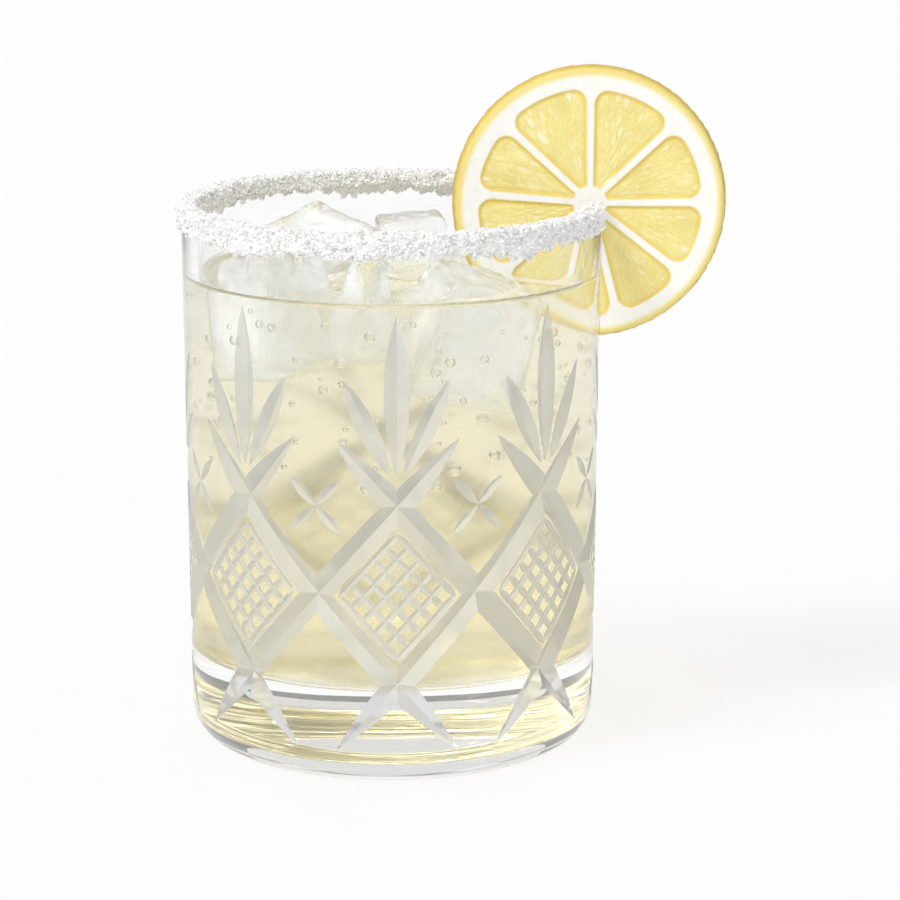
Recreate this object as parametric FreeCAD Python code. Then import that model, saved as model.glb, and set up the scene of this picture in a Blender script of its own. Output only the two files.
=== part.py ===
"""Gin fizz: a cut-glass tumbler of lemon-coloured sparkling drink, with ice, a sugared rim and a lemon wheel.

Millimetres, +Z up. The origin is the centre of the tumbler's foot, on the table. The lemon wheel hangs on the
lip at +X, in the XZ plane, half inside the tumbler and half outside. Every piece is one closed solid and one node:

    tumbler        heavy-based glass, its side cut with a crossing mitre lattice, fans and stars
    sugar_rim      crust of sugar round the lip, open where the lemon wheel sits
    drink          the liquid up to its level, with pockets for the ice and the lemon wheel
    ice_*          five rounded, tapered cubes that float with their tops above the drink
    lemon_wheel    slice with rind, membranes and sunken pulp, slit from the edge to the core for the glass wall
"""

import FreeCAD, Part
import math
import os

Vector = FreeCAD.Vector
UP = Vector(0, 0, 1)

# ---------------------------------------------------------------- driving dimensions: the tumbler
HEIGHT = 110.0
RIM_DIAMETER = 84.0
FOOT_DIAMETER = 81.6  # of the straight side carried down to the table
RIM_WALL = 2.6
FLOOR_WALL = 4.5  # where the inside meets the floor
BASE_THICKNESS = 19.0
HEEL_RADIUS = 9.0
FLOOR_CORNER_RADIUS = 4.0

# ---------------------------------------------------------------- driving dimensions: the cutting
COLUMNS = 8  # repeats of the pattern round the side
MITRE_HALF_ANGLE = 62.0  # degrees, from the cutting wheel's plane to its flank
LATTICE_WIDTH = 5.2  # of the crossing mitre grooves
LATTICE_LOW = 21.5  # height of the lowest crossings
LATTICE_ROW = 17.8  # height from one row of crossings to the next
LATTICE_TOP_RUN_OUT = 13.6  # height over which a groove fades above the highest crossings
LATTICE_LOW_RUN_OUT = 13.6  # and below the lowest ones
LATTICE_HAND_DEPTH = 0.04  # extra depth of the grooves that lean one way, cut first
CUTTER_PROUD = 0.8  # how far the cutters' sections stand out of the glass
FAN_ROOT_GAP = 6.2  # from the highest crossing up to the fan's root
FAN_TOP_BELOW_RIM = 14.8  # clear of the sugar
FAN_BLADE_WIDTH = 5.4  # of the upright blade
FAN_SIDE_SHARE = 0.67  # a side blade's length, as a share of the upright one's
FAN_SIDE_WIDTH = 4.1
FAN_SPREAD = 26.0  # degrees that a side blade leans
FAN_SIDE_ROOT = 1.2  # its root's distance from the column, along the glass
STAR_BLADE_LENGTH = 7.6
STAR_BLADE_WIDTH = 2.1
STAR_LEAN = 44.0  # degrees from upright

# ---------------------------------------------------------------- driving dimensions: what is in and on it
DRINK_DEPTH_BELOW_RIM = 14.5
CRUST_THICKNESS = 1.25
CRUST_DROP_OUTSIDE = 5.0
CRUST_DROP_INSIDE = 3.0
CRUST_RAGGEDNESS = 0.9  # how far the lower edges wander
CRUST_LUMPS = 0.3  # how far the thickness wanders
CRUST_END_GAP = 0.4  # between the crust's ends and the lemon wheel
LEMON_DIAMETER = 55.0
LEMON_THICKNESS = 5.2
LEMON_CROWN = 0.9  # how far the rind bulges at mid thickness
LEMON_PITH = 5.4  # rind and pith together, from the edge to the pulp
LEMON_CORE_RADIUS = 2.4
LEMON_MEMBRANE = 1.5
LEMON_RELIEF = 0.45  # how far the pulp lies below the membranes
LEMON_SEGMENTS = (47, 43, 38, 38, 27, 37, 45, 38, 47)  # degrees, clockwise from the upright membrane
LEMON_CORE_ABOVE_LIP = 0.2
LEMON_CORE_INBOARD = 1.1  # of the middle of the wall
SLIT_CLEARANCE = 0.15  # on each side of the glass wall
ICE_EDGE_RADIUS = 2.2
ICE_CUT_FOR_RADIUS = 38.94  # inside the tumbler at the drink's level; the ice is larger in a wider one
ICE_CLEARANCE = 0.5  # from the lemon wheel

# ---------------------------------------------------------------- derived sizes
DRINK_LEVEL = HEIGHT - DRINK_DEPTH_BELOW_RIM
RIM_RADIUS = RIM_DIAMETER / 2
FOOT_RADIUS = FOOT_DIAMETER / 2
INNER_RIM_RADIUS = RIM_RADIUS - RIM_WALL
INNER_FLOOR_RADIUS = FOOT_RADIUS + (RIM_RADIUS - FOOT_RADIUS) * BASE_THICKNESS / HEIGHT - FLOOR_WALL
LATTICE_MIDDLE = LATTICE_LOW + LATTICE_ROW
LATTICE_HIGH = LATTICE_MIDDLE + LATTICE_ROW
HALF_PITCH = 180.0 / COLUMNS


def outer_radius(z):
    """Radius of the outside of the tumbler at height z."""
    return FOOT_RADIUS + (RIM_RADIUS - FOOT_RADIUS) * z / HEIGHT


def inner_radius(z):
    """Radius of the inside of the tumbler at height z."""
    share = (z - BASE_THICKNESS) / (HEIGHT - BASE_THICKNESS)
    return INNER_FLOOR_RADIUS + (INNER_RIM_RADIUS - INNER_FLOOR_RADIUS) * share


# ---------------------------------------------------------------- small geometry helpers
def rounded_corner(before, corner, after, radius):
    """The two ends and the middle of the arc of that radius that rounds the corner between two straight lines."""
    to_before = (before - corner).normalize()
    to_after = (after - corner).normalize()
    half = to_before.getAngle(to_after) / 2
    start = corner + to_before * (radius / math.tan(half))
    end = corner + to_after * (radius / math.tan(half))
    bisector = (to_before + to_after).normalize()
    middle = corner + bisector * (radius / math.sin(half) - radius)
    return start, middle, end


def closed_outline(corners):
    """A closed wire through corners, given as (point, radius), each rounded to its radius, or sharp at radius 0."""
    arcs = []
    for i, (corner, radius) in enumerate(corners):
        before, after = corners[i - 1][0], corners[(i + 1) % len(corners)][0]
        arcs.append(rounded_corner(before, corner, after, radius) if radius > 0 else (corner,))
    edges = []
    for i, arc in enumerate(arcs):
        if len(arc) == 3:
            edges.append(Part.Arc(*arc).toShape())
        start, end = arc[-1], arcs[(i + 1) % len(arcs)][0]
        if start.distanceToPoint(end) > 1e-6:
            edges.append(Part.LineSegment(start, end).toShape())
    return Part.Wire(edges)


def turned(outline):
    """The solid that a closed outline in the XZ plane sweeps in a full turn about the Z axis."""
    return Part.Face(outline).revolve(Vector(), UP, 360)


def on_side(angle, z, outward=0.0):
    """The point of the tumbler's outside at that angle in degrees and height, moved outward from it."""
    a = math.radians(angle)
    r = outer_radius(z) + outward
    return Vector(r * math.cos(a), r * math.sin(a), z)


# ---------------------------------------------------------------- tumbler
def tumbler_blank():
    """The uncut tumbler: tapered side, heavy base, rounded heel and full-round lip."""
    lip = RIM_WALL / 2 - 0.01
    return turned(closed_outline([
        (Vector(0, 0, 0), 0),
        (Vector(FOOT_RADIUS, 0, 0), HEEL_RADIUS),
        (Vector(RIM_RADIUS, 0, HEIGHT), lip),
        (Vector(INNER_RIM_RADIUS, 0, HEIGHT), lip),
        (Vector(INNER_FLOOR_RADIUS, 0, BASE_THICKNESS), FLOOR_CORNER_RADIUS),
        (Vector(0, 0, BASE_THICKNESS), 0),
    ]))


def v_cutter(stations):
    """The cutter that leaves a V groove in the tumbler's side through stations of (angle, height, depth)."""
    spread = math.tan(math.radians(MITRE_HALF_ANGLE))
    points = [on_side(angle, z) for angle, z, depth in stations]
    sections = []
    for i, (angle, z, depth) in enumerate(stations):
        outward = on_side(angle, z, 1) - points[i]
        along = points[min(i + 1, len(points) - 1)] - points[max(i - 1, 0)]
        across = outward.cross(along).normalize()
        half_width = (depth + CUTTER_PROUD) * spread
        bottom = points[i] - outward * depth
        top = points[i] + outward * CUTTER_PROUD
        sections.append(Part.makePolygon([bottom, top + across * half_width, top - across * half_width, bottom]))
    return Part.makeLoft(sections, True, True)


def groove_depth(width):
    """Depth of a mitre groove that is that wide where it meets the side."""
    return width / 2 / math.tan(math.radians(MITRE_HALF_ANGLE))


def blade_cutter(angle, z, lean, length, width, steps=8):
    """A straight pointed blade, centred at that angle and height, that leans by that many degrees."""
    stations = []
    for i in range(steps + 1):
        share = math.sin(math.pi / 2 * (2 * i / steps - 1))  # from -1 at one tip to 1 at the other
        s = share * length / 2
        aside = math.degrees(s * math.sin(math.radians(lean)) / outer_radius(z))
        stations.append((angle + aside, z + s * math.cos(math.radians(lean)), groove_depth(width) * (1 - share**2)))
    return v_cutter(stations)


def groove_cutter(start_angle, hand):
    """One mitre groove of the lattice: it climbs round the side through the three rows of crossings.

    It starts in a point below the lowest crossing at start_angle, leans to the left or right as hand is 1 or -1,
    is at full depth between the lowest and the highest crossings, and fades out above.
    """
    degrees_per_mm = HALF_PITCH / LATTICE_ROW
    low_end = LATTICE_LOW - LATTICE_LOW_RUN_OUT
    high_end = LATTICE_HIGH + LATTICE_TOP_RUN_OUT
    full = groove_depth(LATTICE_WIDTH) + (LATTICE_HAND_DEPTH if hand > 0 else 0)
    heights = [low_end + LATTICE_LOW_RUN_OUT * i / 6 for i in range(6)]
    heights += [LATTICE_LOW + 2 * LATTICE_ROW * i / 12 for i in range(12)]
    heights += [LATTICE_HIGH + LATTICE_TOP_RUN_OUT * i / 6 for i in range(7)]
    stations = []
    for z in heights:
        below = max(0.0, LATTICE_LOW - z) / LATTICE_LOW_RUN_OUT
        above = max(0.0, z - LATTICE_HIGH) / LATTICE_TOP_RUN_OUT
        depth = full * (1 - below**1.5) * (1 - above**2)
        stations.append((start_angle + hand * degrees_per_mm * (z - LATTICE_LOW), z, depth))
    return v_cutter(stations)


def lattice_cutters():
    return [groove_cutter(2 * HALF_PITCH * column, hand) for hand in (1, -1) for column in range(COLUMNS)]


def fan_cutters():
    """Three blades that rise from just above each highest crossing."""
    root = LATTICE_HIGH + FAN_ROOT_GAP
    length = HEIGHT - FAN_TOP_BELOW_RIM - root
    side_length = FAN_SIDE_SHARE * length
    spread = math.radians(FAN_SPREAD)
    cutters = []
    for column in range(COLUMNS):
        angle = 2 * HALF_PITCH * column
        cutters.append(blade_cutter(angle, root + length / 2, 0, length, FAN_BLADE_WIDTH))
        z = root + side_length / 2 * math.cos(spread)
        aside = math.degrees((FAN_SIDE_ROOT + side_length / 2 * math.sin(spread)) / outer_radius(z))
        for hand in (1, -1):
            cutters.append(blade_cutter(angle + hand * aside, z, hand * FAN_SPREAD, side_length, FAN_SIDE_WIDTH))
    return cutters


def star_cutters():
    """A four-bladed star in each diamond of the upper row."""
    length = STAR_BLADE_LENGTH
    lean = math.radians(STAR_LEAN)
    cutters = []
    for column in range(COLUMNS):
        angle = HALF_PITCH * (2 * column + 1)
        for rise in (1, -1):
            z = LATTICE_HIGH + rise * length / 2 * math.cos(lean)
            aside = math.degrees(length / 2 * math.sin(lean) / outer_radius(z))
            for hand in (1, -1):
                cutters.append(blade_cutter(angle + hand * aside, z, hand * rise * STAR_LEAN, length,
                                            STAR_BLADE_WIDTH, 4))
    return cutters


def tumbler():
    """The blank, cut with one set of cutters after another; the cutters of a set never meet."""
    glass = tumbler_blank()
    lattice, fans, stars = lattice_cutters(), fan_cutters(), star_cutters()
    sets = [lattice[:COLUMNS], lattice[COLUMNS:]]
    sets += [fans[i::3] for i in range(3)]
    sets += [stars[i::4] for i in range(4)]
    for cutters in sets:
        glass = glass.cut(cutters)
    return glass


# ---------------------------------------------------------------- lemon wheel
LEMON_RADIUS = LEMON_DIAMETER / 2
LEMON_CORE = Vector(RIM_RADIUS - RIM_WALL / 2 - LEMON_CORE_INBOARD, 0, HEIGHT + LEMON_CORE_ABOVE_LIP)


def lemon_disc():
    """The uncut slice, its rind slightly bulged, standing in the XZ plane."""
    half = LEMON_THICKNESS / 2
    rim = LEMON_RADIUS - LEMON_CROWN
    outline = Part.Wire([
        Part.LineSegment(Vector(0, 0, -half), Vector(rim, 0, -half)).toShape(),
        Part.Arc(Vector(rim, 0, -half), Vector(LEMON_RADIUS, 0, 0), Vector(rim, 0, half)).toShape(),
        Part.LineSegment(Vector(rim, 0, half), Vector(0, 0, half)).toShape(),
        Part.LineSegment(Vector(0, 0, half), Vector(0, 0, -half)).toShape(),
    ])
    disc = turned(outline)
    disc.rotate(Vector(), Vector(1, 0, 0), 90)
    disc.translate(LEMON_CORE)
    return disc


def pulp_hollow(start, end):
    """The hollow of one segment, from angle start down to angle end, cut right through for both faces to share."""
    start, end = math.radians(start), math.radians(end)
    outer = LEMON_RADIUS - LEMON_PITH
    half_angle = (start - end) / 2
    middle = (start + end) / 2
    along = Vector(math.cos(middle), 0, math.sin(middle))
    aside = Vector(-math.sin(middle), 0, math.cos(middle))
    # the sides run parallel to the membranes' middle planes, half a membrane from them
    tip = LEMON_MEMBRANE / 2 / math.sin(half_angle)
    inner = max(LEMON_CORE_RADIUS + 0.6, tip + 1.2)
    inner_half = (inner - tip) * math.tan(half_angle)
    corner_angle = half_angle - math.asin(LEMON_MEMBRANE / 2 / outer)
    corner = (outer * math.cos(corner_angle), outer * math.sin(corner_angle))
    crest = outer / math.cos(corner_angle / 2)
    shoulder = (crest * math.cos(corner_angle / 2), crest * math.sin(corner_angle / 2))
    points = [
        (inner, -inner_half, 0.2), (corner[0], -corner[1], 1.6), (shoulder[0], -shoulder[1], 4.0),
        (shoulder[0], shoulder[1], 4.0), (corner[0], corner[1], 1.6), (inner, inner_half, 0.2),
    ]
    wire = closed_outline([(along * u + aside * v, radius) for u, v, radius in points])
    return Part.Face(wire)


def pulp_hollows():
    """Shallow hollows in both faces of the slice, one for each segment on each face."""
    hollows = []
    edge = 90.0
    for width in LEMON_SEGMENTS:
        face = pulp_hollow(edge, edge - width)
        edge -= width
        for side in (1, -1):
            sheet = face.copy()
            sheet.translate(LEMON_CORE + Vector(0, side * (LEMON_THICKNESS / 2 - LEMON_RELIEF), 0))
            hollows.append(sheet.extrude(Vector(0, side * 2 * LEMON_RELIEF, 0)))
    return hollows


def slit():
    """The glass wall with its clearance, up to the flat of the slit that rests on the lip."""
    low = HEIGHT - 1.3 * LEMON_RADIUS
    c = SLIT_CLEARANCE
    outline = Part.makePolygon([
        Vector(outer_radius(low) + c, 0, low),
        Vector(outer_radius(HEIGHT) + c, 0, HEIGHT),
        Vector(inner_radius(HEIGHT) - c, 0, HEIGHT),
        Vector(inner_radius(low) - c, 0, low),
        Vector(outer_radius(low) + c, 0, low),
    ])
    return turned(outline)


def lemon_wheel():
    return lemon_disc().cut(pulp_hollows()).cut(slit())


# ---------------------------------------------------------------- ice
def ice_cube(size, taper, place, turn, tilt, tilt_towards):
    """A rounded cube that narrows upward, as from a tray, turned about Z, then tilted towards a heading."""
    width, depth, height = size
    u, v = width / 2, depth / 2
    corners = [(-u, -v), (u, -v), (u, v), (-u, v)]
    rings = []
    for scale, z in ((1.0, -height / 2), (taper, height / 2)):
        ring = [Vector(x * scale, y * scale, z) for x, y in corners]
        rings.append(Part.makePolygon(ring + ring[:1]))
    cube = Part.makeLoft(rings, True, True)
    cube = cube.makeFillet(ICE_EDGE_RADIUS, cube.Edges)
    cube.rotate(Vector(), UP, turn)
    heading = math.radians(tilt_towards)
    cube.rotate(Vector(), Vector(-math.sin(heading), math.cos(heading), 0), tilt)
    cube.translate(Vector(*place))
    return cube


def ice_pieces():
    """The ice by name: size, narrowing, middle (x, y, z from the drink's surface), turn, tilt and its heading."""
    pieces = {
        "ice_peak": ((23, 23, 24), 0.88, (-14.6, 12.0, -3.4), 45, 21, 268),
        "ice_flat": ((16, 14, 22), 0.88, (5.2, 26.0, -3.0), 4, 5, 200),
        "ice_round": ((19, 17, 24), 0.84, (-22.5, -13.0, -5.0), 45, 9, 160),
        "ice_shard": ((12, 11, 19), 0.50, (-5.6, -19.5, -3.2), 45, 6, 20),
        "ice_front": ((21, 19, 24), 0.84, (13.2, -15.4, -9.0), 20, 20, 345),
    }
    fit = inner_radius(DRINK_LEVEL) / ICE_CUT_FOR_RADIUS
    solids = {}
    for name, (size, taper, (x, y, z), turn, tilt, heading) in pieces.items():
        place = (fit * x, fit * y, DRINK_LEVEL + fit * z)
        cube = ice_cube([fit * side for side in size], taper, place, turn, tilt, heading)
        # a piece that floats beside the lemon wheel keeps clear of its face
        if LEMON_CORE.x - LEMON_RADIUS < cube.BoundBox.XMax and y < 0:
            face = -LEMON_THICKNESS / 2 - ICE_CLEARANCE
            highest = max(point.y for point in cube.tessellate(0.05)[0])
            cube.translate(Vector(0, min(0, face - highest), 0))
        solids[name] = cube
    return solids


# ---------------------------------------------------------------- drink
def drink(ice):
    """The inside of the tumbler up to the level, less the ice and the slice that hang in it."""
    body = turned(closed_outline([
        (Vector(0, 0, BASE_THICKNESS), 0),
        (Vector(INNER_FLOOR_RADIUS, 0, BASE_THICKNESS), FLOOR_CORNER_RADIUS),
        (Vector(inner_radius(DRINK_LEVEL), 0, DRINK_LEVEL), 0),
        (Vector(0, 0, DRINK_LEVEL), 0),
    ]))
    return body.cut(list(ice) + [lemon_disc()])


# ---------------------------------------------------------------- sugared rim
def wander(angle, seed):
    """A smooth wander between about -1 and 1 round the lip."""
    a = math.radians(angle)
    waves = ((5, 1.0), (9, 0.8), (14, 0.6), (23, 0.45))
    total = sum(w for n, w in waves)
    return sum(w * math.sin(n * a + seed * (1.7 + 0.31 * n)) for n, w in waves) / total * 1.5


def crust_section(angle):
    """Closed outline of the crust at one angle; it reaches into the wall, which is cut away afterwards."""
    thick = CRUST_THICKNESS + CRUST_LUMPS * wander(angle, 1)
    inner_thick = 0.75 * CRUST_THICKNESS + CRUST_LUMPS * wander(angle, 2)
    low = HEIGHT - CRUST_DROP_OUTSIDE + CRUST_RAGGEDNESS * wander(angle, 3)
    inner_low = HEIGHT - CRUST_DROP_INSIDE + 0.6 * CRUST_RAGGEDNESS * wander(angle, 4)
    top = HEIGHT + 0.85 * CRUST_THICKNESS + CRUST_LUMPS * wander(angle, 5)
    r, q = RIM_RADIUS, INNER_RIM_RADIUS
    bury = RIM_WALL / 4
    points = [
        (r - bury, low + 0.2), (r + 0.55 * thick, low), (r + thick, low + 0.9),
        (r + 0.95 * thick, HEIGHT - 0.9), (r + 0.45 * thick, HEIGHT + 0.35), (r - 0.35 * RIM_WALL, top),
        (q + 0.35 * RIM_WALL, top), (q - 0.45 * inner_thick, HEIGHT + 0.3), (q - 0.95 * inner_thick, HEIGHT - 0.8),
        (q - inner_thick, inner_low + 0.7), (q - 0.5 * inner_thick, inner_low), (q + bury, inner_low + 0.2),
    ]
    a = math.radians(angle)
    ring = [Vector(x * math.cos(a), x * math.sin(a), z) for x, z in points]
    return Part.makePolygon(ring + ring[:1])


def sugar_rim():
    """The crust round the lip, open for the thickness of the lemon wheel and a little more."""
    opening = math.degrees((LEMON_THICKNESS / 2 + CRUST_END_GAP) / INNER_RIM_RADIUS)
    steps = 64
    sections = [crust_section(opening + (360 - 2 * opening) * i / steps) for i in range(steps + 1)]
    return Part.makeLoft(sections, True, True).cut(tumbler_blank())


# ---------------------------------------------------------------- export
def main():
    ice = ice_pieces()
    parts = {
        "tumbler": tumbler(),
        "sugar_rim": sugar_rim(),
        "drink": drink(ice.values()),
        "lemon_wheel": lemon_wheel(),
    }
    parts.update(ice)
    os.makedirs("parts", exist_ok=True)
    for name, shape in parts.items():
        if len(shape.Solids) != 1 or not shape.isValid():
            raise ValueError(f"{name} came out as {len(shape.Solids)} solids, valid: {shape.isValid()}")
        shape.Solids[0].exportStep(f"parts/{name}.step")


main()
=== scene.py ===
"""Looks of the gin fizz: cut glass, sugared rim, sparkling drink, ice and a lemon wheel, on a pale floor.

Sizes are in millimetres until a mesh is made; Blender gets metres. The tumbler stands on Z = 0, and the
lemon wheel hangs on its lip at +X, in the XZ plane.
"""
import bpy
import bmesh
import math
import numpy as np
from mathutils import Matrix, Vector
from mathutils.bvhtree import BVHTree


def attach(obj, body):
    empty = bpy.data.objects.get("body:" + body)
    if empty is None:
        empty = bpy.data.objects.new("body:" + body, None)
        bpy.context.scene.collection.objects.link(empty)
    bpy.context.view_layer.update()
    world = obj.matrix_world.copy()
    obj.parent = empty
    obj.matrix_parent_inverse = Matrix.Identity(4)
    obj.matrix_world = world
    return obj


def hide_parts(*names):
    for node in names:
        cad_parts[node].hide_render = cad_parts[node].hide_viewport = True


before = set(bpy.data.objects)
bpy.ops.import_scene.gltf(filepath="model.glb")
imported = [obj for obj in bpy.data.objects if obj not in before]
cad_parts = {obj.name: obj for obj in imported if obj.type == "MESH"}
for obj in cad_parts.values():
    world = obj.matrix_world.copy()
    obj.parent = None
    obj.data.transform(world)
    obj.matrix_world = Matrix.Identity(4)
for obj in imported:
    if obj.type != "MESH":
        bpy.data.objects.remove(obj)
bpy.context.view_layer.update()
rng = np.random.default_rng(11)

# ---------------------------------------------------------------- sizes shared with the construction, mm
HEIGHT = 110.0
RIM_RADIUS, FOOT_RADIUS = 42.0, 40.8
RIM_WALL, FLOOR_WALL = 2.6, 4.5
BASE = 19.0
HEEL_RADIUS, FLOOR_CORNER_RADIUS = 9.0, 4.0
COLUMNS = 8
HALF_PITCH = 180.0 / COLUMNS
MITRE = math.radians(62.0)
LATTICE_WIDTH, LATTICE_LOW, LATTICE_ROW = 5.2, 21.5, 17.8
LATTICE_HAND_DEPTH = 0.04  # extra depth of the grooves that lean one way
TOP_RUN_OUT, LOW_RUN_OUT = 13.6, 13.6
FAN_ROOT_GAP, FAN_TOP_BELOW_RIM, FAN_BLADE_WIDTH = 6.2, 14.8, 5.4
FAN_SIDE_SHARE, FAN_SIDE_WIDTH, FAN_SPREAD, FAN_SIDE_ROOT = 0.67, 4.1, math.radians(26.0), 1.2
STAR_LENGTH, STAR_WIDTH, STAR_LEAN = 7.6, 2.1, math.radians(44.0)
DRINK_LEVEL = HEIGHT - 14.5
CRUST_THICKNESS, CRUST_DROP_OUTSIDE, CRUST_DROP_INSIDE = 1.25, 5.0, 3.0
CRUST_RAGGEDNESS, CRUST_LUMPS, CRUST_END_GAP = 0.9, 0.3, 0.4
LEMON_RADIUS, LEMON_THICKNESS, LEMON_CROWN = 27.5, 5.2, 0.9
LEMON_X, LEMON_Z = RIM_RADIUS - RIM_WALL / 2 - 1.1, HEIGHT + 0.2
LEMON_SEGMENTS = (47, 43, 38, 38, 27, 37, 45, 38, 47)  # degrees, clockwise from the upright membrane
SLIT_CLEARANCE = 0.15
LATTICE_MIDDLE = LATTICE_LOW + LATTICE_ROW
LATTICE_HIGH = LATTICE_MIDDLE + LATTICE_ROW
INNER_RIM = RIM_RADIUS - RIM_WALL
INNER_FLOOR = FOOT_RADIUS + (RIM_RADIUS - FOOT_RADIUS) * BASE / HEIGHT - FLOOR_WALL
MM = 0.001

# ---------------------------------------------------------------- sizes of the scene alone, mm
HATCH_CELLS, HATCH_WIDTH, HATCH_BORDER = 5, 1.5, 1.0
MENISCUS_RISE, MENISCUS_REACH = 1.3, 2.8
INTO_WALL = 0.08  # how far the drink's surface runs into the glass, so no air shows between them
ICE_MELT, ICE_EDGE_RADIUS = 0.3, 1.9
CRUST_INSET = 0.66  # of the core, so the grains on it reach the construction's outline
CRUST_INTO_GLASS = 0.15
CRUST_END = 2.2  # length over which its two ends round off
LEMON_PITH = 4.6  # rind and pith together, from the edge to the pulp
LEMON_CORE, LEMON_CORNER = 3.2, 3.2
PULP_SUNK, PULP_SWELL, SAC_HEIGHT = 0.42, 0.22, 0.16
LEMON_FLAT = LEMON_RADIUS - LEMON_CROWN


def outer_radius(z):
    return FOOT_RADIUS + (RIM_RADIUS - FOOT_RADIUS) * z / HEIGHT


def inner_radius(z):
    return INNER_FLOOR + (INNER_RIM - INNER_FLOOR) * (z - BASE) / (HEIGHT - BASE)


# ---------------------------------------------------------------- mesh helpers
def make_object(name, points, faces, material=None):
    """An object from points in mm, in the scene."""
    mesh = bpy.data.meshes.new(name)
    mesh.from_pydata((np.asarray(points, float) * MM).tolist(), [], [tuple(map(int, f)) for f in faces])
    mesh.validate()
    thing = bpy.data.objects.new(name, mesh)
    bpy.context.scene.collection.objects.link(thing)
    if material is not None:
        mesh.materials.append(material)
    return thing


def shade(mesh, smooth_below):
    """Smooth shading, with edges kept where faces meet at more than smooth_below degrees."""
    mesh.polygons.foreach_set("use_smooth", [True] * len(mesh.polygons))
    mesh.set_sharp_from_angle(angle=math.radians(smooth_below))


def outward_faces(thing):
    """Turns all faces of a closed mesh to point outward."""
    bm = bmesh.new()
    bm.from_mesh(thing.data)
    bmesh.ops.recalc_face_normals(bm, faces=bm.faces)
    bm.to_mesh(thing.data)
    bm.free()


def cut_away(thing, cutters):
    """Takes each cutter from the thing for good, and removes the cutters."""
    for cutter in cutters:
        step = thing.modifiers.new("cut", "BOOLEAN")
        step.operation, step.solver, step.object = "DIFFERENCE", "MANIFOLD", cutter
    bpy.context.view_layer.update()
    result = bpy.data.meshes.new_from_object(thing.evaluated_get(bpy.context.evaluated_depsgraph_get()))
    thing.modifiers.clear()
    old, thing.data = thing.data, result
    result.materials.clear()
    result.polygons.foreach_set("material_index", [0] * len(result.polygons))
    bpy.data.meshes.remove(old)
    for cutter in cutters:
        bpy.data.meshes.remove(cutter.data)


def path_with_corners(corners, steps=8):
    """Points of an open path through corners (r, z, radius), each rounded in that many steps."""
    points = []
    for i, (x, z, radius) in enumerate(corners):
        here = np.array((x, z))
        if radius == 0:
            points.append(here)
            continue
        before = np.array(corners[i - 1][:2]) - here
        after = np.array(corners[i + 1][:2]) - here
        before, after = before / np.linalg.norm(before), after / np.linalg.norm(after)
        half = math.acos(np.clip(before @ after, -1, 1)) / 2
        middle = (before + after) / np.linalg.norm(before + after)
        centre = here + middle * radius / math.sin(half)
        start = here + before * radius / math.tan(half) - centre
        end = here + after * radius / math.tan(half) - centre
        a, b = math.atan2(start[1], start[0]), math.atan2(end[1], end[0])
        b += 2 * math.pi * round((a - b) / (2 * math.pi))
        for t in np.linspace(a, b, steps + 1):
            points.append(centre + radius * np.array((math.cos(t), math.sin(t))))
    return points


def lathe(path, segments):
    """Points and faces of the closed surface that a path (r, z) from the axis back to the axis sweeps."""
    turn = np.linspace(0, 2 * math.pi, segments, endpoint=False)
    points = [(0, 0, path[0][1])]
    for r, z in path[1:-1]:
        points += [(r * math.cos(t), r * math.sin(t), z) for t in turn]
    points.append((0, 0, path[-1][1]))
    rings, last = len(path) - 2, len(points) - 1
    faces = [(0, 1 + (j + 1) % segments, 1 + j) for j in range(segments)]
    for i in range(rings - 1):
        a, b = 1 + i * segments, 1 + (i + 1) * segments
        for j in range(segments):
            k = (j + 1) % segments
            faces.append((a + j, a + k, b + k, b + j))
    a = 1 + (rings - 1) * segments
    faces += [(a + j, a + (j + 1) % segments, last) for j in range(segments)]
    return points, faces


def joined(parts):
    """One list of points and one of faces from several (points, faces)."""
    points, faces, count = [], [], 0
    for some_points, some_faces in parts:
        points.append(np.asarray(some_points, float))
        faces += [tuple(i + count for i in f) for f in some_faces]
        count += len(some_points)
    return np.vstack(points), faces


def waves(points, scale, seed, octaves=3):
    """A smooth wander through space between about -1 and 1, for points in mm.

    scale is its coarsest wavelength. Each octave is twice as fine as the one before, and weaker by fading.
    """
    local = np.random.default_rng(seed)
    waves_per_octave, fading, usual_height = 6, 1.8, 2.4
    total = np.zeros(len(points))
    for octave in range(octaves):
        for _ in range(waves_per_octave):
            heading = local.normal(size=3)
            heading *= 2 * math.pi / scale * 2**octave / np.linalg.norm(heading) * local.uniform(0.7, 1.3)
            total += np.sin(points @ heading + local.uniform(0, 6.28)) / usual_height / fading**octave
    return total / fading


def belongs(thing, slot, *nodes):
    """Ties a thing to the tumbler; slot is not used. It stands for nodes of the construction."""
    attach(thing, "root")
    if nodes:
        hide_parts(*nodes)


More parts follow.
